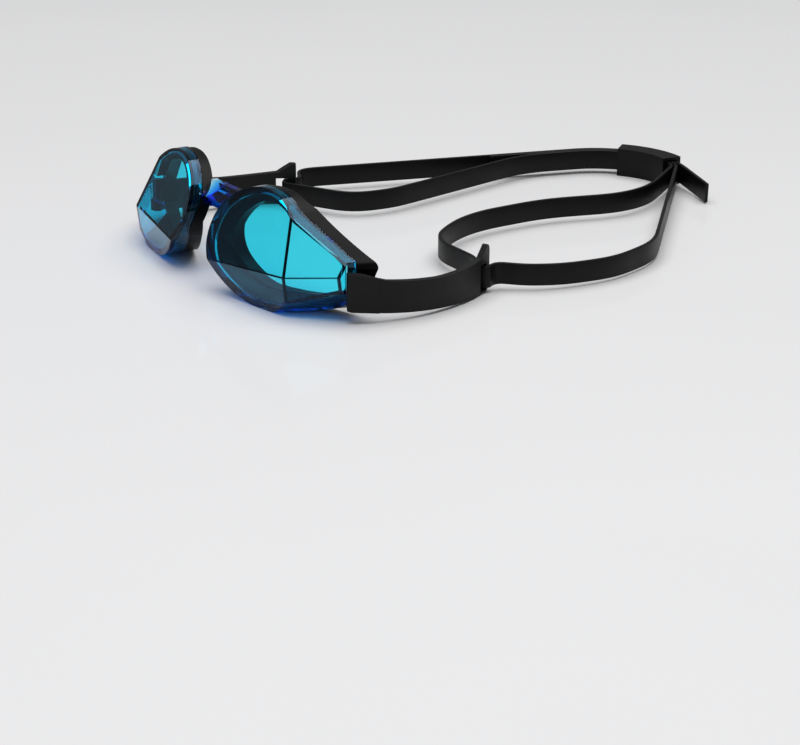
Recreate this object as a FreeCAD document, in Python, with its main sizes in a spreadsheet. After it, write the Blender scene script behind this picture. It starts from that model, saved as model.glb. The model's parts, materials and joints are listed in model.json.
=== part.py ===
import FreeCAD, Part
import math
import os
from FreeCAD import Placement, Rotation, Vector

# Swim goggles standing on a table: two faceted eye cups with soft seals, a nose bridge,
# two side arms, one long flat strap doubled behind the head, and the buckle that joins it.
# Millimetres. X runs across the face, +Y from the lenses to the back of the head, +Z up.
# X = 0 is the middle of the nose, Y = 0 the foremost lens corners, Z = 0 the table.

os.makedirs("parts", exist_ok=True)
doc = FreeCAD.newDocument("SwimGoggles")
sheet = doc.addObject("Spreadsheet::Sheet", "Sizes")

SIZES = {
    "CupWidth": 55.1,
    "CupHeight": 37.5,
    "NoseGap": 25.8,
    "LensWall": 2.5,
    "LensFront": 2.2,
    "WrapAngle": 20.0,
    "CupDepthNose": 7.0,
    "RimDepth": 4.2,
    "SealDepth": 4.9,
    "SealWidth": 5.0,
    "SealFlare": 1.1,
    "LiningThickness": 0.9,
    "BeadRadius": 2.0,
    "BeadGap": 0.3,
    "ArmThickness": 2.4,
    "ArmHeightRoot": 16.8,
    "SlotLength": 4.6,
    "SlotHeight": 9.2,
    "EndBar": 3.0,
    "StrapWidth": 7.5,
    "StrapThickness": 1.3,
    "StrapHeightOffTable": 1.9,
    "LayerPitch": 1.6,
    "BuckleWall": 1.3,
    "BuckleClearance": 0.35,
    "BuckleHeight": 10.9,
    "BuckleRadius": 31.0,
    "BuckleX": -10.0,
    "BuckleY": 184.0,
    "WindowWidth": 2.5,
    "WindowHeight": 6.6,
    "WindowCount": 5,
    "BridgeDepth": 8.0,
    "BridgeHeight": 5.6,
}

for row, (label, value) in enumerate(SIZES.items(), start=1):
    sheet.set("A%d" % row, label)
    sheet.set("B%d" % row, str(value))
    sheet.setAlias("B%d" % row, label)
doc.recompute()


def size(label):
    return float(sheet.get(label))


def bind(thing, prop, formula):
    thing.setExpression(prop, formula)


# ---------------------------------------------------------------- small helpers

def new_body(name):
    return doc.addObject("PartDesign::Body", name)


def origin_plane(body, role):
    for item in body.Origin.OriginFeatures:
        if item.Role == role:
            return item
    raise ValueError(role)


def new_sketch(body, name, role, edges, lift=0.0):
    """A closed outline on one of the body's own planes, lifted along that plane's normal."""
    sketch = body.newObject("Sketcher::SketchObject", name)
    sketch.AttachmentSupport = [(origin_plane(body, role), "")]
    sketch.MapMode = "FlatFace"
    sketch.AttachmentOffset = Placement(Vector(0, 0, lift), Rotation())
    for edge in edges:
        sketch.addGeometry(edge, False)
    return sketch


def line(a, b):
    return Part.LineSegment(Vector(a[0], a[1], 0), Vector(b[0], b[1], 0))


def arc(a, middle, b):
    return Part.Arc(Vector(a[0], a[1], 0), Vector(middle[0], middle[1], 0), Vector(b[0], b[1], 0))


def polygon(points):
    return [line(points[i], points[(i + 1) % len(points)]) for i in range(len(points))]


def pad(body, name, sketch, length, reverse=False):
    feature = body.newObject("PartDesign::Pad", name)
    feature.Profile = sketch
    if isinstance(length, str):
        bind(feature, "Length", length)
    else:
        feature.Length = length
    feature.Reversed = reverse
    sketch.Visibility = False
    return feature


def pocket(body, name, sketch, length, reverse=False, both_ways=False):
    feature = body.newObject("PartDesign::Pocket", name)
    feature.Profile = sketch
    if isinstance(length, str):
        bind(feature, "Length", length)
    else:
        feature.Length = length
    feature.Reversed = reverse
    feature.Midplane = both_ways
    sketch.Visibility = False
    return feature


def loft(body, name, kind, sketches):
    feature = body.newObject(kind, name)
    feature.Profile = sketches[0]
    feature.Sections = sketches[1:]
    feature.Ruled = True
    for sketch in sketches:
        sketch.Visibility = False
    return feature


def cut(name, base, tool):
    feature = doc.addObject("Part::Cut", name)
    feature.Base = base
    feature.Tool = tool
    return feature


def half_space(name, point, outward, inset=0.0):
    """A large box whose near face lies on a facet; cutting with it leaves that flat facet."""
    box = doc.addObject("Part::Box", name)
    reach = 160.0
    box.Length = reach
    box.Width = reach / 2
    box.Height = reach
    turn = Rotation(Vector(0, -1, 0), outward)
    corner = turn.multVec(Vector(-reach / 2, -reach / 2, -reach / 2))
    box.Placement = Placement(point - outward * inset + corner, turn)
    return box


def heading_vector(heading):
    """Level direction measured from +Y towards +X."""
    return Vector(math.sin(heading), math.cos(heading), 0)


def normal_through(a, b, c, towards):
    normal = (b - a).cross(c - a).normalize()
    return normal if normal.dot(towards) > 0 else normal * -1


def mirrored(name, source):
    feature = doc.addObject("Part::Mirroring", name)
    feature.Source = source
    feature.Normal = Vector(1, 0, 0)
    feature.Base = Vector(0, 0, 0)
    return feature


# ---------------------------------------------------------------- eye cup outline

# Front view of the left eye cup as fractions of its width and height, from the nose edge
# and from the table. The temple end is cut square; the nose and crown are round.
CUP_OUTLINE = {
    "temple top": (1.000, 0.469),
    "crease top": (0.583, 0.845),
    "crown outer": (0.467, 0.952),
    "crown": (0.338, 1.000),
    "crown inner": (0.125, 0.949),
    "bridge side": (-0.029, 0.789),
    "nose": (-0.078, 0.573),
    "nose corner": (0.000, 0.299),
    "cheek": (0.158, 0.107),
    "foot": (0.428, 0.000),
    "foot outer": (0.602, 0.010),
    "lower bend": (0.782, 0.051),
    "temple bottom": (1.000, 0.139),
}


def cup_point(name, grow=0.0):
    """One outline point; grow moves it out from the middle of the cup."""
    along, up = CUP_OUTLINE[name]
    width = size("CupWidth")
    height = size("CupHeight")
    centre = (0.48, 0.5)
    x = size("NoseGap") / 2 + width * (centre[0] + (along - centre[0]) * (1 + 2 * grow / width))
    z = height * (centre[1] + (up - centre[1]) * (1 + 2 * grow / height))
    return (x, z)


def soft_corner(before, corner, after, radius):
    """Tangent points and middle of an arc that rounds a corner between two lines."""
    c = Vector(corner[0], corner[1], 0)
    back = (Vector(before[0], before[1], 0) - c).normalize()
    on = (Vector(after[0], after[1], 0) - c).normalize()
    half_angle = math.acos(back.dot(on)) / 2
    reach = radius / math.tan(half_angle)
    middle = c + (back + on).normalize() * (radius / math.sin(half_angle) - radius)
    return [(v.x, v.y) for v in (c + back * reach, middle, c + on * reach)]


def outline_edges(p, round_top, round_bottom):
    """The closed outline through its named points, its two temple corners rounded."""
    top = soft_corner(p["temple bottom"], p["temple top"], p["crease top"], round_top)
    bottom = soft_corner(p["lower bend"], p["temple bottom"], p["temple top"], round_bottom)
    return [
        arc(*top),
        line(top[2], p["crease top"]),
        arc(p["crease top"], p["crown outer"], p["crown"]),
        arc(p["crown"], p["crown inner"], p["bridge side"]),
        arc(p["bridge side"], p["nose"], p["nose corner"]),
        arc(p["nose corner"], p["cheek"], p["foot"]),
        arc(p["foot"], p["foot outer"], p["lower bend"]),
        line(p["lower bend"], bottom[0]),
        arc(*bottom),
        line(bottom[2], top[0]),
    ]


def cup_edges(grow=0.0):
    points = {name: cup_point(name, grow) for name in CUP_OUTLINE}
    return outline_edges(points, 0.6, 0.8)


# Where the creases of the faceted front meet and end, as points on the left cup.
def front_point(along, back, up):
    return Vector(size("NoseGap") / 2 + along * size("CupWidth"), back, up * size("CupHeight"))


junction = front_point(0.690, 6.4, 0.363)
crease_top = front_point(0.583, 13.3, 0.845)
nose_corner = front_point(0.000, 0.0, 0.301)
temple_corner = front_point(1.000, 22.1, 0.469)
crease_foot = front_point(0.688, 7.5, 0.122)
temple_foot = front_point(0.995, 21.3, 0.291)

forward = Vector(0, -1, 0)
facets = {
    "UpperNose": (junction, normal_through(crease_top, junction, nose_corner, forward)),
    "UpperTemple": (junction, normal_through(crease_top, junction, temple_corner, forward)),
    "LowerNose": (junction, normal_through(nose_corner, junction, crease_foot, forward)),
    "LowerTemple": (junction, normal_through(temple_foot, junction, crease_foot, forward)),
    "UnderTemple": (
        crease_foot,
        normal_through(crease_foot, temple_foot, crease_foot + Vector(0, 10, -4.5), Vector(0, 0, -1)),
    ),
}

# The rim behind the cup follows two planes: the wrap of the face, and near the crown and the
# nose bridge a plane that keeps the wall at least as deep as RimDepth.
wrap = math.radians(size("WrapAngle"))
rim_point = Vector(size("NoseGap") / 2, size("CupDepthNose"), 0)
rim_back = Vector(-math.sin(wrap), math.cos(wrap), 0)
crown_back = facets["UpperNose"][1] * -1
crown_point = junction + Vector(0, size("RimDepth"), 0)


def behind_rim(name, back, sink=0.0):
    """Everything behind the rim surface when it is moved back by a distance."""
    step = Vector(0, back, 0)
    wrap_side = half_space(name + "Wrap", rim_point + step, rim_back)
    crown_side = half_space(name + "Crown", crown_point + step + Vector(0, sink, 0), crown_back)
    both = doc.addObject("Part::MultiCommon", name)
    both.Shapes = [wrap_side, crown_side]
    return both


def clip_front(name, shape, back):
    """Cuts away what lies in front of the rim surface."""
    step = Vector(0, back, 0)
    first = cut(name + "A", shape, half_space(name + "WrapFront", rim_point + step, rim_back * -1))
    return cut(name + "B", first, half_space(name + "CrownFront", crown_point + step, crown_back * -1))


# Vertical axis about which each arm turns, just behind the temple end of the lens.
pivot = Vector(size("NoseGap") / 2 + size("CupWidth") - 1.1, temple_corner.y + 1.1, 0)

# ---------------------------------------------------------------- lenses

outer_body = new_body("LensBlock")
outline = new_sketch(outer_body, "LensOutline", "XZ_Plane", cup_edges(), 6.0)
pad(outer_body, "LensDepth", outline, 52.0, True)

inner_body = new_body("LensHollow")
hollow_outline = new_sketch(inner_body, "HollowOutline", "XZ_Plane", cup_edges(-size("LensWall")), 5.0)
pad(inner_body, "HollowDepth", hollow_outline, 60.0, True)
doc.recompute()

solid = outer_body
hollow = inner_body
for facet, (point, outward) in facets.items():
    solid = cut("Lens" + facet, solid, half_space("Cutter" + facet, point, outward))
    shifted = half_space("HollowCutter" + facet, point, outward, size("LensFront"))
    hollow = cut("Hollow" + facet, hollow, shifted)

solid = cut("LensRim", solid, behind_rim("RimCutter", 0.0))

# The hollow stops short of the temple end, where the solid end block holds the arm.
end_wall = pivot.x - size("BeadRadius") - size("BeadGap") - 1.3
hollow = cut("HollowEnd", hollow, half_space("EndBlockCutter", Vector(end_wall, 0, 0), Vector(1, 0, 0)))
solid = cut("LensShell", solid, hollow)

groove = doc.addObject("Part::Cylinder", "ArmGroove")
bind(groove, "Radius", "Sizes.BeadRadius + Sizes.BeadGap")
groove.Height = 60
groove.Placement = Placement(pivot - Vector(0, 0, 20), Rotation())
relief = doc.addObject("Part::Box", "ArmRelief")
relief.Length = 20
relief.Width = 30
relief.Height = 60
relief.Placement = Placement(pivot + Vector(-size("BeadRadius") - size("BeadGap"), 0, -20), Rotation())
trim = doc.addObject("Part::Box", "TempleTrim")
trim.Length = 20
trim.Width = 50
trim.Height = 60
trim.Placement = Placement(pivot + Vector(-0.9, -25, -20), Rotation())
seat = doc.addObject("Part::MultiFuse", "ArmSeat")
seat.Shapes = [groove, relief, trim]
left_lens = cut("LeftLens", solid, seat)
right_lens = mirrored("RightLens", left_lens)

# ---------------------------------------------------------------- seals

# Each seal continues the cup wall behind the rim and flares as it goes back. Every outline
# point leaves the rim at its own depth, so its growth is measured from there.
# Shifts are millimetres at the rim, and per millimetre behind it.
SEAL_SHIFT = {
    "temple top": ((-2.6, 0.3), (0.45, 0.10)),
    "temple bottom": ((-5.4, 0.2), (0.05, 0.02)),
    "crown outer": ((0.0, -0.3), (0.0, -0.18)),
    "crown": ((0.0, -0.4), (0.0, -0.30)),
    "crown inner": ((0.0, -0.3), (0.0, -0.25)),
    "bridge side": ((0.2, -0.2), (0.1, -0.1)),
    "foot": ((0.0, 0.2), (0.0, 0.26)),
    "foot outer": ((0.0, 0.2), (0.0, 0.24)),
    "lower bend": ((0.0, 0.1), (0.0, 0.12)),
    "cheek": ((0.0, 0.1), (0.0, 0.12)),
}
HOLE_SHIFT = {
    "temple top": ((-2.8, -0.6), (0, 0)),
    "temple bottom": ((-2.8, 0.4), (0, 0)),
    "nose": ((3.6, 0.0), (0, 0)),
    "bridge side": ((3.2, -1.2), (0, 0)),
    "crown inner": ((1.6, -0.6), (0, 0)),
    "nose corner": ((1.6, 0.0), (0, 0)),
}


def rim_depth(x, z):
    wrap_side = rim_point.y + (x - rim_point.x) * math.tan(wrap)
    off = Vector(x, 0, z) - crown_point
    crown_side = -(off.x * crown_back.x + off.z * crown_back.z) / crown_back.y
    return max(wrap_side, crown_side)


def seal_edges(y, inset, slope, shifts, round_top, round_bottom):
    """Outline of a seal wall where it passes the plane Y = y."""
    points = {}
    for name in CUP_OUTLINE:
        x, z = cup_point(name)
        behind = y - rim_depth(x, z)
        at_rim, per_mm = shifts.get(name, ((0, 0), (0, 0)))
        x, z = cup_point(name, slope * behind - inset)
        points[name] = (x + at_rim[0] + per_mm[0] * behind, z + at_rim[1] + per_mm[1] * behind)
    return outline_edges(points, round_top, round_bottom)


def seal_blank(name, extra, opened):
    body = new_body(name)
    slope = size("SealFlare") / size("SealDepth")
    front_y = -2.0
    back_y = 42.0
    rings = []
    for place, y in (("Front", front_y), ("Back", back_y)):
        edges = seal_edges(y, -extra, slope, SEAL_SHIFT, 2.2, 1.6)
        rings.append(new_sketch(body, name + place, "XZ_Plane", edges, -y))
    loft(body, name + "Shape", "PartDesign::AdditiveLoft", rings)
    if opened:
        holes = []
        for place, y in (("FrontHole", front_y - 1), ("BackHole", back_y + 1)):
            edges = seal_edges(y, size("SealWidth"), 0.1, HOLE_SHIFT, 1.5, 1.5)
            holes.append(new_sketch(body, name + place, "XZ_Plane", edges, -y))
        loft(body, name + "Opening", "PartDesign::SubtractiveLoft", holes)
    return body


seal_ring = seal_blank("LeftSealRing", 0.0, True)
doc.recompute()
seal_front = clip_front("SealFront", seal_ring, 0.06)
seal_lip = cut("SealLip", seal_front, behind_rim("LipCutter", size("SealDepth"), -1.0))

# A thin sleeve of the same elastomer runs forward from the ring and lines the cup wall.
LINING_GAP = 0.2
lining_body = new_body("LiningBlock")
lining_outer = new_sketch(
    lining_body, "LiningOutline", "XZ_Plane", cup_edges(-size("LensWall") - LINING_GAP), 5.0
)
pad(lining_body, "LiningDepth", lining_outer, 60.0, True)
bore = new_sketch(
    lining_body, "LiningBore", "XZ_Plane",
    cup_edges(-size("LensWall") - LINING_GAP - size("LiningThickness")), 6.0,
)
pocket(lining_body, "LiningHollow", bore, 70.0)
doc.recompute()
lining = lining_body
for facet, (point, outward) in facets.items():
    face = half_space("LiningCutter" + facet, point, outward, size("LensFront") + 0.5)
    lining = cut("Lining" + facet, lining, face)
end_face = half_space("LiningEndCutter", Vector(end_wall - 0.3, 0, 0), Vector(1, 0, 0))
lining = cut("LiningEnd", lining, end_face)
lining = cut("LiningBack", lining, behind_rim("LiningBackCutter", 1.5))
left_seal = doc.addObject("Part::MultiFuse", "LeftSeal")
left_seal.Shapes = [seal_lip, lining]
right_seal = mirrored("RightSeal", left_seal)

# ---------------------------------------------------------------- nose bridge

bridge_body = new_body("BridgeBlock")
front_low = (9.8, 27.2)
back_high = (15.6, 31.0)
tall = size("BridgeHeight")
deep = size("BridgeDepth")
bridge_profile = polygon([
    (front_low[0] + 0.8, back_high[1] - tall - 0.9),
    front_low,
    back_high,
    (front_low[0] + deep, back_high[1]),
    (front_low[0] + deep, back_high[1] - tall),
])
bridge_sketch = new_sketch(bridge_body, "BridgeProfile", "YZ_Plane", bridge_profile)
bridge_pad = pad(bridge_body, "BridgeSpan", bridge_sketch, 2 * 15.0)
bridge_pad.Midplane = True
window = new_sketch(
    bridge_body, "BridgeWindow", "XY_Plane",
    polygon([(-2.7, 12.6), (2.7, 12.6), (2.7, 14.6), (-2.7, 14.6)]), back_high[1] + 2.0,
)
pocket(bridge_body, "BridgeRecess", window, 3.7)
doc.recompute()

clearance_body = new_body("CupClearance")
clearance_outline = new_sketch(clearance_body, "ClearanceOutline", "XZ_Plane", cup_edges(0.06), 6.0)
pad(clearance_body, "ClearanceDepth", clearance_outline, 52.0, True)
seal_room = clip_front("SealRoom", seal_blank("SealClearance", 0.35, False), -0.3)
doc.recompute()
end_room = doc.addObject("Part::MultiFuse", "BridgeEndRoom")
end_room.Shapes = [clearance_body, seal_room]
left_trim = cut("BridgeLeftEnd", bridge_body, end_room)
nose_bridge = cut("NoseBridge", left_trim, mirrored("BridgeEndRoomRight", end_room))

# ---------------------------------------------------------------- side arms

# Plan of the arm's middle line: a bow outwards from the pivot, then inwards to the strap slot.
def turn_point(start, heading, radius, angle):
    """End of an arc; headings are measured from +Y towards +X, positive angle turns outwards."""
    side = 1 if angle > 0 else -1
    centre = (start[0] + side * radius * math.cos(heading), start[1] - side * radius * math.sin(heading))
    new_heading = heading + angle
    end = (centre[0] - side * radius * math.cos(new_heading), centre[1] + side * radius * math.sin(new_heading))
    middle_heading = heading + angle / 2
    middle = (
        centre[0] - side * radius * math.cos(middle_heading),
        centre[1] + side * radius * math.sin(middle_heading),
    )
    return middle, end, new_heading


ARM_ARCS = [(math.radians(29), 46.0), (math.radians(36), 57.0)]


def arm_line(shift):
    """Outer or inner line of the arm: two arcs shifted sideways from its middle line."""
    heading = ARM_ARCS[0][0]
    start = (pivot.x + shift * math.cos(heading), pivot.y - shift * math.sin(heading))
    points = [start]
    for (angle, radius) in ARM_ARCS:
        middle, end, heading = turn_point(points[-1], heading, radius + shift, -angle)
        points += [middle, end]
    return points, heading


half = size("ArmThickness") / 2
outer_line, end_heading = arm_line(half)
inner_line, end_heading = arm_line(-half)
arm_end = Vector(
    (outer_line[-1][0] + inner_line[-1][0]) / 2, (outer_line[-1][1] + inner_line[-1][1]) / 2, 0
)
along_arm = Vector(math.sin(end_heading), math.cos(end_heading), 0)
out_of_arm = Vector(math.cos(end_heading), -math.sin(end_heading), 0)

arm_body = new_body("LeftArmPlate")
arm_edges = [
    arc(outer_line[0], outer_line[1], outer_line[2]),
    arc(outer_line[2], outer_line[3], outer_line[4]),
    line(outer_line[4], inner_line[4]),
    arc(inner_line[4], inner_line[3], inner_line[2]),
    arc(inner_line[2], inner_line[1], inner_line[0]),
    line(inner_line[0], outer_line[0]),
]
arm_plan = new_sketch(arm_body, "ArmPlan", "XY_Plane", arm_edges)
pad(arm_body, "ArmRise", arm_plan, 22.0)
root_way = heading_vector(ARM_ARCS[0][0])
root_side = heading_vector(ARM_ARCS[0][0] + math.pi / 2)
bead = size("BeadRadius")
root_points = [
    pivot + root_side * bead,
    pivot + root_side * (half - 0.3) + root_way * 8.5,
    pivot - root_side * (half - 0.3) + root_way * 7.0,
    pivot - root_side * bead * 0.9,
]
root_plan = new_sketch(arm_body, "RootPlan", "XY_Plane", polygon([(v.x, v.y) for v in root_points]))
pad(arm_body, "RootRise", root_plan, 22.0)
bead_plan = new_sketch(
    arm_body, "BeadPlan", "XY_Plane",
    [Part.Circle(Vector(pivot.x, pivot.y, 0), Vector(0, 0, 1), size("BeadRadius"))],
)
pad(arm_body, "BeadRise", bead_plan, 22.0)
root_top = size("ArmHeightRoot")
tip = arm_end.y
over = [
    arc((10, root_top + 0.4), (pivot.y + 12, root_top - 3.2), (pivot.y + 29, root_top - 4.9)),
    arc((pivot.y + 29, root_top - 4.9), (tip - 14, root_top - 4.8), (tip - 5.6, root_top - 4.1)),
    line((tip - 5.6, root_top - 4.1), (tip - 1.3, root_top - 0.9)),
    line((tip - 1.3, root_top - 0.9), (tip + 0.1, root_top - 0.9)),
    line((tip + 0.1, root_top - 0.9), (tip + 1.2, root_top - 3.2)),
    line((tip + 1.2, root_top - 3.2), (tip + 9, root_top - 3.6)),
    line((tip + 9, root_top - 3.6), (tip + 9, 40)),
    line((tip + 9, 40), (10, 40)),
    line((10, 40), (10, root_top + 0.4)),
]
over_sketch = new_sketch(arm_body, "AboveArm", "YZ_Plane", over)
pocket(arm_body, "ArmTopEdge", over_sketch, 300.0, both_ways=True)
under = [
    arc((10, 5.6), (46, 1.9), (tip - 4, 0.35)),
    line((tip - 4, 0.35), (tip - 2.2, 0.35)),
    arc((tip - 2.2, 0.35), (tip - 0.7, 0.9), (tip + 0.6, 2.6)),
    line((tip + 0.6, 2.6), (tip + 9, 2.6)),
    line((tip + 9, 2.6), (tip + 9, -10)),
    line((tip + 9, -10), (10, -10)),
    line((10, -10), (10, 5.6)),
]
under_sketch = new_sketch(arm_body, "BelowArm", "YZ_Plane", under)
pocket(arm_body, "ArmBottomEdge", under_sketch, 300.0, both_ways=True)
doc.recompute()

strap_low = size("StrapHeightOffTable")
strap_high = strap_low + size("StrapWidth")
strap_middle = (strap_low + strap_high) / 2
slot_box = doc.addObject("Part::Box", "StrapSlot")
bind(slot_box, "Length", "Sizes.SlotLength")
slot_box.Width = 12
bind(slot_box, "Height", "Sizes.SlotHeight")
slot_turn = Rotation(Vector(1, 0, 0), along_arm)
slot_centre = arm_end - along_arm * (size("EndBar") + size("SlotLength") / 2)
slot_box.Placement = Placement(
    slot_centre
    + slot_turn.multVec(Vector(-size("SlotLength") / 2, -6, 0))
    + Vector(0, 0, strap_middle - size("SlotHeight") / 2),
    slot_turn,
)
left_arm = cut("LeftArm", arm_body, slot_box)
right_arm = mirrored("RightArm", left_arm)

# ---------------------------------------------------------------- strap

def ribbon(corners, thickness):
    """Plan of a band bent through corners: (x, y, bend radius), its ends cut square."""
    count = len(corners)
    points = [Vector(c[0], c[1], 0) for c in corners]
    ways = [(points[i + 1] - points[i]).normalize() for i in range(count - 1)]
    sides = []
    for side in (1, -1):
        shift = side * thickness / 2
        edges = []
        position = points[0] + Vector(-ways[0].y, ways[0].x, 0) * shift
        for i in range(1, count - 1):
            before = ways[i - 1]
            after = ways[i]
            turn = math.atan2(before.x * after.y - before.y * after.x, before.dot(after))
            direction = 1 if turn > 0 else -1
            radius = corners[i][2]
            reach = radius * math.tan(abs(turn) / 2)
            left_before = Vector(-before.y, before.x, 0)
            left_after = Vector(-after.y, after.x, 0)
            centre = points[i] - before * reach + left_before * (direction * radius)
            own = radius - direction * shift
            begin = centre - left_before * (direction * own)
            end = centre - left_after * (direction * own)
            middle = centre - (left_before + left_after).normalize() * (direction * own)
            edges.append((line, position, begin))
            edges.append((arc, begin, middle, end))
            position = end
        last = points[-1] + Vector(-ways[-1].y, ways[-1].x, 0) * shift
        edges.append((line, position, last))
        sides.append(edges)
    left, right = sides
    drawn = [item[0](*item[1:]) for item in left + right]
    drawn.append(line(left[-1][-1], right[-1][-1]))
    drawn.append(line(left[0][1], right[0][1]))
    return drawn


def strap_length(name, corners):
    body = new_body(name)
    sketch = new_sketch(
        body, name + "Plan", "XY_Plane", ribbon(corners, size("StrapThickness")), strap_low
    )
    pad(body, name + "Width", sketch, "Sizes.StrapWidth")
    return body


def from_slot(along, out):
    """Plan point near the strap slot of the left arm."""
    return arm_end + along_arm * along + out_of_arm * out


# The strap layers run round one arc at the back of the head, where the buckle grips them.
buckle_centre = Vector(size("BuckleX"), size("BuckleY"), 0)
ENTRY = math.radians(18)
EXIT = math.radians(102)


def back_corner(radius):
    """Corner whose rounding by this radius is centred on the buckle's own centre."""
    half_turn = (EXIT - ENTRY) / 2
    point = buckle_centre + heading_vector(ENTRY + half_turn - math.pi / 2) * (radius / math.cos(half_turn))
    return (point.x, point.y, radius)


def before_arc(radius, distance, bend=0.0):
    start = buckle_centre + heading_vector(ENTRY - math.pi / 2) * radius
    point = start - heading_vector(ENTRY) * distance
    return (point.x, point.y, bend)


def after_arc(radius, distance, bend=0.0):
    start = buckle_centre + heading_vector(EXIT - math.pi / 2) * radius
    point = start + heading_vector(EXIT) * distance
    return (point.x, point.y, bend)


radius_outer = size("BuckleRadius") + size("LayerPitch")
radius_middle = size("BuckleRadius")
radius_inner = size("BuckleRadius") - size("LayerPitch")

# Each band passes over the outside of an arm's end bar and in through its slot.
skin = half + 0.3 + size("StrapThickness") / 2
into_slot = -size("EndBar") - size("StrapThickness") / 2
slot_corners = []
for along, out, bend in ((2.9, skin, 3.0), (into_slot - 0.4, skin, 1.3), (into_slot - 0.9, -skin - 0.9, 1.6)):
    point = from_slot(along, out)
    slot_corners.append((point.x, point.y, bend))

tail_end = (25.6, buckle_centre.y + radius_outer - 8.7, 0)
LEFT_OUTER = [(69.4, 87.0, 15), (75.5, 100.5, 48), (77.9, 121.5, 34)]
LEFT_OUTER_BACK = [(71.0, 144.1, 33), after_arc(radius_middle, 3.0, 5)]
LEFT_INNER = [(55.5, 79.9, 6), (27.6, 80.6, 20), (10.2, 106.1, 46)]
LEFT_INNER_BACK = [(10.3, 141.4, 60), (22.5, 177.9, 33), after_arc(radius_inner, 3, 5)]
RIGHT_INNER = [(-34.6, 86.6, 14), (-31.8, 103.5, 30)]
RIGHT_INNER_BACK = [before_arc(radius_inner, 22, 40)]
RIGHT_OUTER = [before_arc(radius_outer, 113.1, 6)]


def split(a, b, share, gap):
    """Ends of two lengths of strap that part at a share of the way from a to b."""
    start = Vector(a[0], a[1], 0)
    way = Vector(b[0], b[1], 0) - start
    at = start + way * share
    step = way.normalize() * (gap / 2)
    before = at - step
    after = at + step
    return (before.x, before.y, 0), (after.x, after.y, 0)


GAP = 1.0
other_side = [(-x, y, bend) for x, y, bend in slot_corners]
left_near, left_far = split(LEFT_OUTER[1], LEFT_OUTER[2], 0.50, GAP)
left_in_near, left_in_far = split(LEFT_INNER[-1], LEFT_INNER_BACK[0], 0.50, GAP)
right_in_near, right_in_far = split(RIGHT_INNER[1], RIGHT_INNER_BACK[0], 0.30, GAP)
right_near, right_far = split(RIGHT_OUTER[0], before_arc(radius_outer, 0), 0.22, GAP)

left_loop = strap_length(
    "LeftSlotLoop", [left_near] + LEFT_OUTER[1::-1] + slot_corners + LEFT_INNER + [left_in_near]
)
right_loop = strap_length(
    "RightSlotLoop", [right_near] + RIGHT_OUTER + other_side + RIGHT_INNER + [right_in_near]
)
strap_left = strap_length(
    "StrapLeftLength",
    [left_far] + LEFT_OUTER[2:] + LEFT_OUTER_BACK
    + [back_corner(radius_middle), before_arc(radius_middle, 37)],
)
strap_middle_length = strap_length(
    "StrapMiddleLength",
    [left_in_far] + LEFT_INNER_BACK + [back_corner(radius_inner)] + RIGHT_INNER_BACK + [right_in_far],
)
strap_right = strap_length(
    "StrapRightLength",
    [right_far, back_corner(radius_outer), after_arc(radius_outer, 4, 12), tail_end],
)

# ---------------------------------------------------------------- buckle

def sector(inner_radius, outer_radius, first, last):
    """Plan of a curved bar about the origin; angles from +Y, clockwise seen from above."""
    def at(radius, degrees):
        angle = math.radians(degrees)
        return (radius * math.sin(angle), radius * math.cos(angle))
    middle = (first + last) / 2
    return [
        arc(at(inner_radius, first), at(inner_radius, middle), at(inner_radius, last)),
        line(at(inner_radius, last), at(outer_radius, last)),
        arc(at(outer_radius, last), at(outer_radius, middle), at(outer_radius, first)),
        line(at(outer_radius, first), at(inner_radius, first)),
    ]


BUCKLE_FIRST = -38.0
BUCKLE_LAST = 10.0
stack = size("LayerPitch") + size("StrapThickness") / 2 + size("BuckleClearance")
shell = stack + size("BuckleWall")
radius = size("BuckleRadius")
buckle_body = new_body("BuckleBody")
buckle_plan = new_sketch(
    buckle_body, "BucklePlan", "XY_Plane", sector(radius - shell, radius + shell, BUCKLE_FIRST, BUCKLE_LAST)
)
pad(buckle_body, "BuckleRise", buckle_plan, "Sizes.BuckleHeight")
channel_plan = new_sketch(
    buckle_body, "ChannelPlan", "XY_Plane",
    sector(radius - stack, radius + stack, BUCKLE_FIRST - 5, BUCKLE_LAST + 5),
    strap_low - size("BuckleClearance"),
)
pocket(buckle_body, "StrapChannel", channel_plan, "Sizes.StrapWidth + 2 * Sizes.BuckleClearance", True)
window_count = int(size("WindowCount"))
window_step = 9.2
window_half = math.degrees(size("WindowWidth") / 2 / (radius + shell))
first_window = (BUCKLE_FIRST + BUCKLE_LAST) / 2 - window_step * (window_count - 1) / 2
window_plan = new_sketch(
    buckle_body, "WindowPlan", "XY_Plane",
    sector(radius + stack - 0.4, radius + shell + 2, first_window - window_half, first_window + window_half),
    strap_middle - size("WindowHeight") / 2,
)
first_cut = pocket(buckle_body, "RibWindow", window_plan, "Sizes.WindowHeight", True)
pattern = buckle_body.newObject("PartDesign::PolarPattern", "RibWindows")
pattern.Originals = [first_cut]
for item in buckle_body.Origin.OriginFeatures:
    if item.Role == "Z_Axis":
        pattern.Axis = (item, [""])
pattern.Reversed = True
pattern.Angle = window_step * (window_count - 1)
buckle_body.Tip = pattern
pattern.Occurrences = window_count
buckle_body.Placement = Placement(buckle_centre, Rotation())

# ---------------------------------------------------------------- hand over

parts = {
    "left_lens": left_lens,
    "right_lens": right_lens,
    "left_face_seal": left_seal,
    "right_face_seal": right_seal,
    "nose_bridge": nose_bridge,
    "left_side_arm": left_arm,
    "right_side_arm": right_arm,
    "strap_left_slot_loop": left_loop,
    "strap_right_slot_loop": right_loop,
    "strap_left_length": strap_left,
    "strap_middle_length": strap_middle_length,
    "strap_right_length": strap_right,
    "strap_buckle": buckle_body,
}

doc.recompute()
problems = [o.Name for o in doc.Objects if "Invalid" in o.State or "Error" in o.State]
if problems:
    raise RuntimeError("did not build: " + ", ".join(problems))

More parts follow.
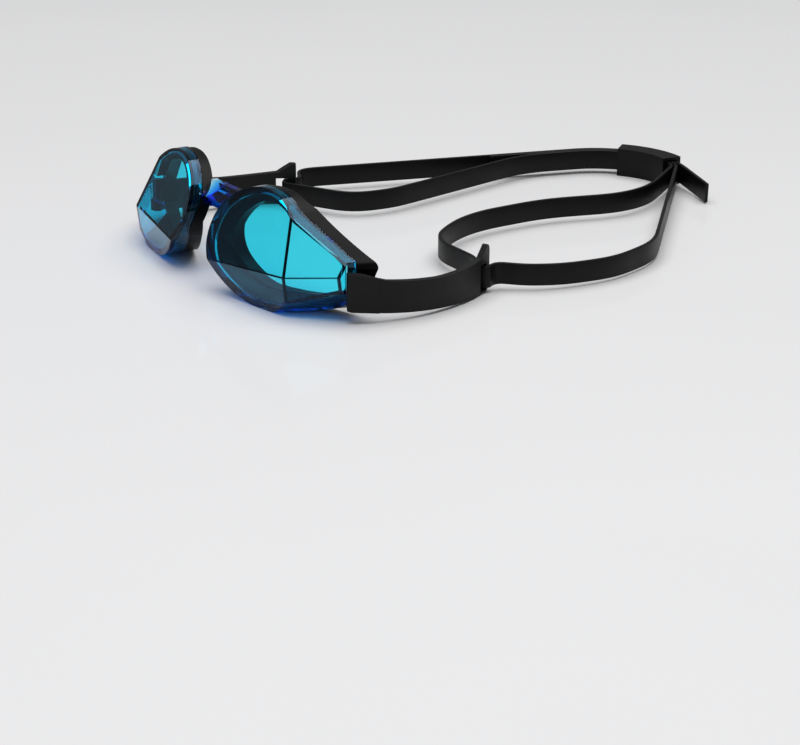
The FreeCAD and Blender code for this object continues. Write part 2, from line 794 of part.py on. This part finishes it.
for label, thing in parts.items():
    thing.Label = label
    shape = thing.Shape
    if shape.isNull() or not shape.isValid() or len(shape.Solids) != 1:
        raise RuntimeError("not one sound solid: %s (%d)" % (label, len(shape.Solids)))
    shape.exportStep("parts/%s.step" % label)
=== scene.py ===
import json
import math

import bmesh
import bpy
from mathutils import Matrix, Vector


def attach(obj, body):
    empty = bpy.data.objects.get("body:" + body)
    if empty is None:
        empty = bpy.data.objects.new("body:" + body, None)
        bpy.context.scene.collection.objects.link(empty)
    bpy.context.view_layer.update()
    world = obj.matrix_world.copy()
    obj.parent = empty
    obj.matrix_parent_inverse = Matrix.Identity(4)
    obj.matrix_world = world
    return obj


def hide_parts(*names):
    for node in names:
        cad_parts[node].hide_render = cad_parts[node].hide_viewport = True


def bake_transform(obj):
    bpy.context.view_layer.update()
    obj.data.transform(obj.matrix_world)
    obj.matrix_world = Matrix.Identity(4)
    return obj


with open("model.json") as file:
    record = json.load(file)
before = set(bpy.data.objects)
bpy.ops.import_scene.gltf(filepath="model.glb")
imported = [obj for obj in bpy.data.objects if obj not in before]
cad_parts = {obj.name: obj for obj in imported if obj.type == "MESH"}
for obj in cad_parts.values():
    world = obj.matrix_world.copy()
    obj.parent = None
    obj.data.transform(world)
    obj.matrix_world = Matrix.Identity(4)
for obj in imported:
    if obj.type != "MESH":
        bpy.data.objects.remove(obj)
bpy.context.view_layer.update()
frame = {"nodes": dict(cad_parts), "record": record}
nodes = frame["nodes"]
scene = bpy.context.scene

MM = 0.001


# ------------------------------------------------------------------ materials

def linear(code):
    """An sRGB hex colour as the linear values a shader takes."""
    out = []
    for i in (1, 3, 5):
        v = int(code[i:i + 2], 16) / 255
        out.append(v / 12.92 if v <= 0.04045 else ((v + 0.055) / 1.055) ** 2.4)
    return (*out, 1.0)


def add(tree, kind, settings=None, inputs=None):
    """One node; settings are its own properties, inputs are values or sockets by name or number."""
    node = tree.nodes.new(kind)
    for key, value in (settings or {}).items():
        setattr(node, key, value)
    for key, value in (inputs or {}).items():
        socket = node.inputs[key]
        if isinstance(value, bpy.types.NodeSocket):
            tree.links.new(value, socket)
        else:
            socket.default_value = value
    return node


def new_material(name):
    material = bpy.data.materials.new(name)
    material.use_nodes = True
    material.node_tree.nodes.clear()
    return material, material.node_tree


def moulded_rubber(name, dark, pale, rough_low, rough_high, grain, relief, specular):
    """Moulded black rubber: two near blacks in soft clouds, uneven sheen and a fine skin grain."""
    material, tree = new_material(name)
    place = add(tree, "ShaderNodeTexCoord").outputs["Object"]
    clouds = add(tree, "ShaderNodeTexNoise", None, {"Vector": place, "Scale": 90.0, "Detail": 4.0})
    tone = add(tree, "ShaderNodeMix", {"data_type": "RGBA"}, {
        "Factor": clouds.outputs["Fac"], "A": linear(dark), "B": linear(pale)})
    sheen = add(tree, "ShaderNodeMapRange", None, {
        "Value": clouds.outputs["Fac"], "From Min": 0.3, "From Max": 0.7,
        "To Min": rough_low, "To Max": rough_high})
    skin = add(tree, "ShaderNodeTexNoise", None, {"Vector": place, "Scale": grain, "Detail": 3.0})
    bump = add(tree, "ShaderNodeBump", None, {
        "Height": skin.outputs["Fac"], "Strength": relief, "Distance": 0.00005})
    shader = add(tree, "ShaderNodeBsdfPrincipled", None, {
        "Base Color": tone.outputs["Result"], "Roughness": sheen.outputs["Result"],
        "Normal": bump.outputs["Normal"], "IOR": 1.5, "Specular IOR Level": specular})
    add(tree, "ShaderNodeOutputMaterial", None, {"Surface": shader.outputs[0]})
    return material


def clear_blue(name, tint, density, shade):
    """Tinted polycarbonate, polished from the mould: nearly colourless at the skin and bluer the
    further light runs inside, so thin walls are cyan and edges are deep blue."""
    material, tree = new_material(name)
    place = add(tree, "ShaderNodeTexCoord").outputs["Object"]
    film = add(tree, "ShaderNodeTexNoise", None, {"Vector": place, "Scale": 60.0, "Detail": 5.0})
    haze = add(tree, "ShaderNodeMapRange", None, {
        "Value": film.outputs["Fac"], "From Min": 0.45, "From Max": 0.8, "To Min": 0.008, "To Max": 0.03})
    shader = add(tree, "ShaderNodeBsdfPrincipled", None, {
        "Base Color": (1, 1, 1, 1), "Roughness": haze.outputs["Result"], "IOR": 1.58,
        "Transmission Weight": 1.0, "Specular Tint": (0.3, 0.48, 0.7, 1.0)})
    depth = add(tree, "ShaderNodeVolumeAbsorption", None, {"Color": linear(tint), "Density": density})
    passing = add(tree, "ShaderNodeBsdfTransparent", None, {"Color": linear(shade)})
    rays = add(tree, "ShaderNodeLightPath")
    mix = add(tree, "ShaderNodeMixShader", None, {
        "Fac": rays.outputs["Is Shadow Ray"], 1: shader.outputs[0], 2: passing.outputs[0]})
    add(tree, "ShaderNodeOutputMaterial", None, {"Surface": mix.outputs[0], "Volume": depth.outputs[0]})
    return material


lens_blue = clear_blue("lens polished blue polycarbonate", "#40F6FE", 1350.0, "#4E9CC4")
bridge_blue = clear_blue("bridge polished blue polycarbonate", "#40DCFC", 900.0, "#4E9CC4")
seal_black = moulded_rubber(
    "seal soft moulded elastomer", "#030304", "#060607",
    rough_low=0.30, rough_high=0.42, grain=3000.0, relief=0.2, specular=0.12)
arm_black = moulded_rubber(
    "arm moulded matte elastomer", "#09090A", "#0E0E0F",
    rough_low=0.42, rough_high=0.55, grain=4500.0, relief=0.45, specular=0.24)
strap_black = moulded_rubber(
    "strap extruded silicone", "#070708", "#0C0C0D",
    rough_low=0.36, rough_high=0.5, grain=3500.0, relief=0.3, specular=0.2)
buckle_black = moulded_rubber(
    "buckle moulded nylon", "#060607", "#0A0A0B",
    rough_low=0.4, rough_high=0.55, grain=2500.0, relief=0.4, specular=0.22)


# ------------------------------------------------------------------ pieces

def settled(obj):
    """Replace the object's mesh by what its modifiers make of it, and drop the modifiers."""
    depsgraph = bpy.context.evaluated_depsgraph_get()
    mesh = bpy.data.meshes.new_from_object(obj.evaluated_get(depsgraph), depsgraph=depsgraph)
    obj.modifiers.clear()
    obj.data = mesh
    mesh.name = obj.name
    return obj


SHOULDER_RISE = 1.5 * MM
SHOULDER_END = 34 * MM
SHOULDER_FADE = 8 * MM
ARM_TOP_ABOVE = 14 * MM


def arm_shoulder(point):
    """The arm's top swells where it springs from the lens, and eases back to its own height."""
    near = min(max((SHOULDER_END - point.y) / SHOULDER_FADE, 0.0), 1.0)
    if point.z > ARM_TOP_ABOVE:
        point.z += SHOULDER_RISE * near * near * (3 - 2 * near)


# Edges that turn more than CREASE are rounded, and gentler ones down to FACET_TURN where both
# faces are broad facets.
CREASE = math.radians(28)
FACET_TURN = math.radians(4)
BROAD_FACE = 8 * MM * MM


def moulded_copy(node, name, material, radius, shape):
    """A copy of a CAD node with its sharp edges, and the creases between its broad facets, rounded
    as a mould leaves them."""
    mesh = nodes[node].data.copy()
    work = bmesh.new()
    work.from_mesh(mesh)
    bmesh.ops.remove_doubles(work, verts=work.verts, dist=2e-6)
    bmesh.ops.dissolve_limit(work, angle_limit=math.radians(0.6), verts=work.verts, edges=work.edges)
    rounding = work.edges.layers.float.new("bevel_weight_edge")
    for edge in work.edges:
        if len(edge.link_faces) != 2:
            continue
        turn = edge.calc_face_angle(0.0)
        facets = all(face.calc_area() > BROAD_FACE for face in edge.link_faces)
        edge[rounding] = 1.0 if turn > CREASE or (turn > FACET_TURN and facets) else 0.0
    if shape:
        for vertex in work.verts:
            shape(vertex.co)
    work.to_mesh(mesh)
    work.free()
    mesh.materials.clear()
    mesh.materials.append(material)
    obj = bpy.data.objects.new(name, mesh)
    scene.collection.objects.link(obj)
    bevel = obj.modifiers.new("rounded edges", "BEVEL")
    bevel.limit_method = "WEIGHT"
    bevel.width = radius
    bevel.segments = 3
    bevel.miter_outer = "MITER_ARC"
    bevel.use_clamp_overlap = True
    weighted = obj.modifiers.new("facet shading", "WEIGHTED_NORMAL")
    weighted.keep_sharp = True
    weighted.weight = 80
    for polygon in mesh.polygons:
        polygon.use_smooth = True
    return settled(obj)


BODY = {
    node: body
    for body, members in frame["record"]["behaviour"]["bodies"].items()
    for node in members
}

# Material and record slot of each kind of moulding, and the radius its mould leaves on sharp edges.
LENS = (lens_blue, "blue_polycarbonate", 0.35)
BRIDGE = (bridge_blue, "bridge_polycarbonate", 0.4)
SEAL = (seal_black, "seal_elastomer", 0.8)
ARM = (arm_black, "arm_elastomer", 0.5)
BUCKLE = (buckle_black, "buckle_plastic", 0.4)

for node, name, kind, shape in (
    ("left_lens", "left_lens_shell", LENS, None),
    ("right_lens", "right_lens_shell", LENS, None),
    ("nose_bridge", "nose_bridge_block", BRIDGE, None),
    ("left_face_seal", "left_seal_lip", SEAL, None),
    ("right_face_seal", "right_seal_lip", SEAL, None),
    ("left_side_arm", "left_arm_moulding", ARM, arm_shoulder),
    ("right_side_arm", "right_arm_moulding", ARM, arm_shoulder),
    ("strap_buckle", "buckle_moulding", BUCKLE, None),
):
    material, slot, radius = kind
    piece = moulded_copy(node, name, material, radius * MM, shape)
    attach(piece, BODY[node])
    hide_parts(node)


# ------------------------------------------------------------------ strap

STRAP_WIDTH = 7.5
STRAP_THICKNESS = 1.3
LEVEL = 5.65


def socket_id(tree, name):
    for item in tree.interface.items_tree:
        if item.item_type == "SOCKET" and item.in_out == "INPUT" and item.name == name:
            return item.identifier
    raise KeyError(name)


def strap_tree():
    """A flat band swept along a route: corners bent by their own radius, then eased as rubber eases."""
    tree = bpy.data.node_groups.new("flat band", "GeometryNodeTree")
    tree.interface.new_socket("Geometry", in_out="INPUT", socket_type="NodeSocketGeometry")
    for name, kind in (("Width", "NodeSocketFloat"), ("Thickness", "NodeSocketFloat"),
                       ("Edge Radius", "NodeSocketFloat"), ("Step", "NodeSocketFloat"),
                       ("Easing", "NodeSocketInt"), ("Finish", "NodeSocketMaterial")):
        tree.interface.new_socket(name, in_out="INPUT", socket_type=kind)
    tree.interface.new_socket("Geometry", in_out="OUTPUT", socket_type="NodeSocketGeometry")
    given = add(tree, "NodeGroupInput").outputs
    bend = add(tree, "GeometryNodeInputNamedAttribute", {"data_type": "FLOAT"}, {"Name": "bend"})
    loose = add(tree, "GeometryNodeInputNamedAttribute", {"data_type": "FLOAT"}, {"Name": "loose"})
    line = add(tree, "GeometryNodeMeshToCurve", None, {"Mesh": given["Geometry"]})
    bent = add(tree, "GeometryNodeFilletCurve", {"mode": "POLY"}, {
        "Curve": line.outputs[0], "Count": 24, "Radius": bend.outputs[0]})
    even = add(tree, "GeometryNodeResampleCurve", {"mode": "LENGTH"}, {
        "Curve": bent.outputs[0], "Length": given["Step"]})
    place = add(tree, "GeometryNodeInputPosition")
    eased = add(tree, "GeometryNodeBlurAttribute", {"data_type": "FLOAT_VECTOR"}, {
        "Value": place.outputs[0], "Iterations": given["Easing"], "Weight": loose.outputs[0]})
    moved = add(tree, "GeometryNodeSetPosition", None, {
        "Geometry": even.outputs[0], "Position": eased.outputs[0]})
    upright = add(tree, "GeometryNodeSetCurveNormal", {"mode": "Z_UP"}, {"Curve": moved.outputs[0]})
    section = add(tree, "GeometryNodeCurvePrimitiveQuadrilateral", {"mode": "RECTANGLE"}, {
        "Width": given["Thickness"], "Height": given["Width"]})
    soft = add(tree, "GeometryNodeFilletCurve", {"mode": "POLY"}, {
        "Curve": section.outputs[0], "Count": 3, "Radius": given["Edge Radius"]})
    swept = add(tree, "GeometryNodeCurveToMesh", None, {
        "Curve": upright.outputs[0], "Profile Curve": soft.outputs[0], "Fill Caps": True})
    smooth = add(tree, "GeometryNodeSetShadeSmooth", None, {"Geometry": swept.outputs[0]})
    real = add(tree, "GeometryNodeRealizeInstances", None, {"Geometry": smooth.outputs[0]})
    done = add(tree, "GeometryNodeSetMaterial", None, {
        "Geometry": real.outputs[0], "Material": given["Finish"]})
    add(tree, "NodeGroupOutput", None, {"Geometry": done.outputs[0]})
    return tree


BAND = strap_tree()


def band(name, route):
    """A strap piece along its route: (x, y, height of its middle, bend radius, looseness) in mm."""
    mesh = bpy.data.meshes.new(name)
    mesh.from_pydata([(x * MM, y * MM, z * MM) for x, y, z, _, _ in route],
                     [(i, i + 1) for i in range(len(route) - 1)], [])
    for key, column in (("bend", 3), ("loose", 4)):
        values = mesh.attributes.new(key, "FLOAT", "POINT")
        scale = MM if key == "bend" else 1.0
        for i, point in enumerate(route):
            values.data[i].value = point[column] * scale
    obj = bpy.data.objects.new(name, mesh)
    scene.collection.objects.link(obj)
    sweep = obj.modifiers.new("band", "NODES")
    sweep.node_group = BAND
    for key, value in (("Width", STRAP_WIDTH * MM), ("Thickness", STRAP_THICKNESS * MM),
                       ("Edge Radius", 0.28 * MM), ("Step", 0.4 * MM), ("Easing", 80),
                       ("Finish", strap_black)):
        sweep[socket_id(BAND, key)] = value
    settled(obj)
    obj.data.set_sharp_from_angle(angle=math.radians(50))
    return obj


def heading_vector(degrees):
    """Level direction measured from +Y towards +X."""
    angle = math.radians(degrees)
    return Vector((math.sin(angle), math.cos(angle)))


# The strap's layers bend round one centre where the buckle grips them; the layers enter, meet and
# leave at these headings.
GRIP = Vector((-10.0, 184.0))
OUTER, MIDDLE, INNER = 32.6, 31.0, 29.4
ENTRY, JOIN, EXIT = 18.0, 70.0, 102.0


def on_grip(radius, heading, beyond=0.0):
    """Plan point of a layer where it runs at this heading, then some way further along it."""
    point = GRIP + heading_vector(heading - 90) * radius + heading_vector(heading) * beyond
    return point.x, point.y


def grip_corner(radius, first, last):
    """Corner that a layer's arc rounds between two headings."""
    half = (last - first) / 2
    point = GRIP + heading_vector((first + last) / 2 - 90) * (radius / math.cos(math.radians(half)))
    return point.x, point.y


ARM_END = Vector((61.78, 79.0))
ALONG_ARM = heading_vector(-36)
OUT_OF_ARM = Vector((ALONG_ARM.y, -ALONG_ARM.x))


def from_slot(along, out):
    point = ARM_END + ALONG_ARM * along + OUT_OF_ARM * out
    return point.x, point.y


SLOT = [(*from_slot(2.9, 2.15), LEVEL, 3.0, 0.3), (*from_slot(-4.05, 2.15), LEVEL, 1.3, 0),
        (*from_slot(-4.55, -3.05), LEVEL, 1.6, 0)]
MIRRORED_SLOT = [(-x, y, z, bend, loose) for x, y, z, bend, loose in SLOT]

left_route = [
    (*on_grip(MIDDLE, ENTRY, -37), LEVEL, 0, 1),
    (*grip_corner(MIDDLE, ENTRY, EXIT), LEVEL, MIDDLE, 0),
    (*on_grip(MIDDLE, EXIT, 3), LEVEL, 5, 0.2),
    (71.0, 144.1, LEVEL - 0.9, 33, 1),
    (77.9, 121.5, LEVEL - 0.9, 34, 1),
    (75.5, 100.5, LEVEL - 0.6, 48, 1),
    (69.4, 87.0, LEVEL, 15, 1),
    *SLOT,
    (55.5, 79.9, LEVEL, 6, 0.8),
    (27.6, 80.6, LEVEL, 20, 1),
    (10.2, 106.1, LEVEL, 46, 1),
    (10.3, 141.4, LEVEL, 60, 1),
    (22.5, 177.9, LEVEL, 33, 1),
    (*on_grip(INNER, EXIT, 3), LEVEL, 5, 0.2),
    (*grip_corner(INNER, JOIN, EXIT), LEVEL, INNER, 0),
    (*on_grip(INNER, JOIN), LEVEL, 0, 0),
]
right_route = [
    (25.6, 207.9, LEVEL - 1.6, 0, 1),
    (*on_grip(OUTER, EXIT, 4), LEVEL, 12, 0.4),
    (*grip_corner(OUTER, ENTRY, EXIT), LEVEL, OUTER, 0),
    (*on_grip(OUTER, ENTRY, -113.1), LEVEL, 6, 0.5),
    *MIRRORED_SLOT,
    (-34.6, 86.6, LEVEL, 14, 0.8),
    (-31.8, 103.5, LEVEL, 30, 1),
    (*on_grip(INNER, ENTRY, -22), LEVEL, 40, 1),
    (*grip_corner(INNER, ENTRY, JOIN), LEVEL, INNER, 0),
    (*on_grip(INNER, JOIN), LEVEL, 0, 0),
]
left_band = band("strap_left_run", left_route)
right_band = band("strap_right_run", right_route)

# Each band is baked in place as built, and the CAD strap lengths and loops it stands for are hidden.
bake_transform(left_band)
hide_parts("strap_left_length", "strap_left_slot_loop")
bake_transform(right_band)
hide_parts("strap_right_length", "strap_right_slot_loop", "strap_middle_length")

for name, node in nodes.items():
    node.data.materials.clear()
    node.data.materials.append({"lens": lens_blue, "bridge": bridge_blue}.get(name.split("_")[-1], arm_black))


# ------------------------------------------------------------------ floor, light and camera

def gloss_floor():
    """Gloss white acrylic sheet: even pale tone, faint sharp reflections."""
    material, tree = new_material("table gloss white acrylic")
    place = add(tree, "ShaderNodeTexCoord").outputs["Object"]
    soft = add(tree, "ShaderNodeTexNoise", None, {"Vector": place, "Scale": 6.0, "Detail": 2.0})
    tone = add(tree, "ShaderNodeMix", {"data_type": "RGBA"}, {
        "Factor": soft.outputs["Fac"], "A": linear("#E4E4E5"), "B": linear("#E7E7E8")})
    shader = add(tree, "ShaderNodeBsdfPrincipled", None, {
        "Base Color": tone.outputs["Result"], "Roughness": 0.08, "IOR": 1.4,
        "Specular IOR Level": 0.2})
    add(tree, "ShaderNodeOutputMaterial", None, {"Surface": shader.outputs[0]})
    return material


bpy.ops.mesh.primitive_plane_add(size=12, location=(0, 0.1, 0))
table = bpy.context.object
table.name = "table_top"
table.data.materials.append(gloss_floor())

scene.view_settings.view_transform = "Standard"
world = bpy.data.worlds.new("studio")
scene.world = world
world.use_nodes = True
world.node_tree.nodes["Background"].inputs["Color"].default_value = linear("#F4F5F6")
world.node_tree.nodes["Background"].inputs["Strength"].default_value = 0.2


def softbox(name, place, aim, width, height, power):
    light = bpy.data.lights.new(name, "AREA")
    light.shape = "RECTANGLE"
    light.size = width
    light.size_y = height
    light.energy = power
    thing = bpy.data.objects.new(name, light)
    scene.collection.objects.link(thing)
    thing.location = place
    thing.rotation_euler = (Vector(aim) - Vector(place)).to_track_quat("-Z", "Y").to_euler()


softbox("overhead softbox", (-0.1, 0.3, 2.6), (0, 0.15, 0), 3.4, 3.4, 99.0)

# Seen from the wearer's left front, a little above the table.
azimuth = math.radians(56.64)
rise = math.radians(20.34)
aim = Vector((0.02342, 0.06986, -0.03983))
back = Vector((math.sin(azimuth) * math.cos(rise), -math.cos(azimuth) * math.cos(rise), math.sin(rise)))
camera_data = bpy.data.cameras.new("camera")
camera_data.lens = 101.25
camera_data.sensor_width = 36.0
camera_data.clip_start = 0.02
camera_data.clip_end = 20
camera = bpy.data.objects.new("camera", camera_data)
scene.collection.objects.link(camera)
camera.location = aim + back * 0.79375
camera.rotation_mode = "QUATERNION"
camera.rotation_quaternion = (-back).to_track_quat("-Z", "Y")
scene.camera = camera
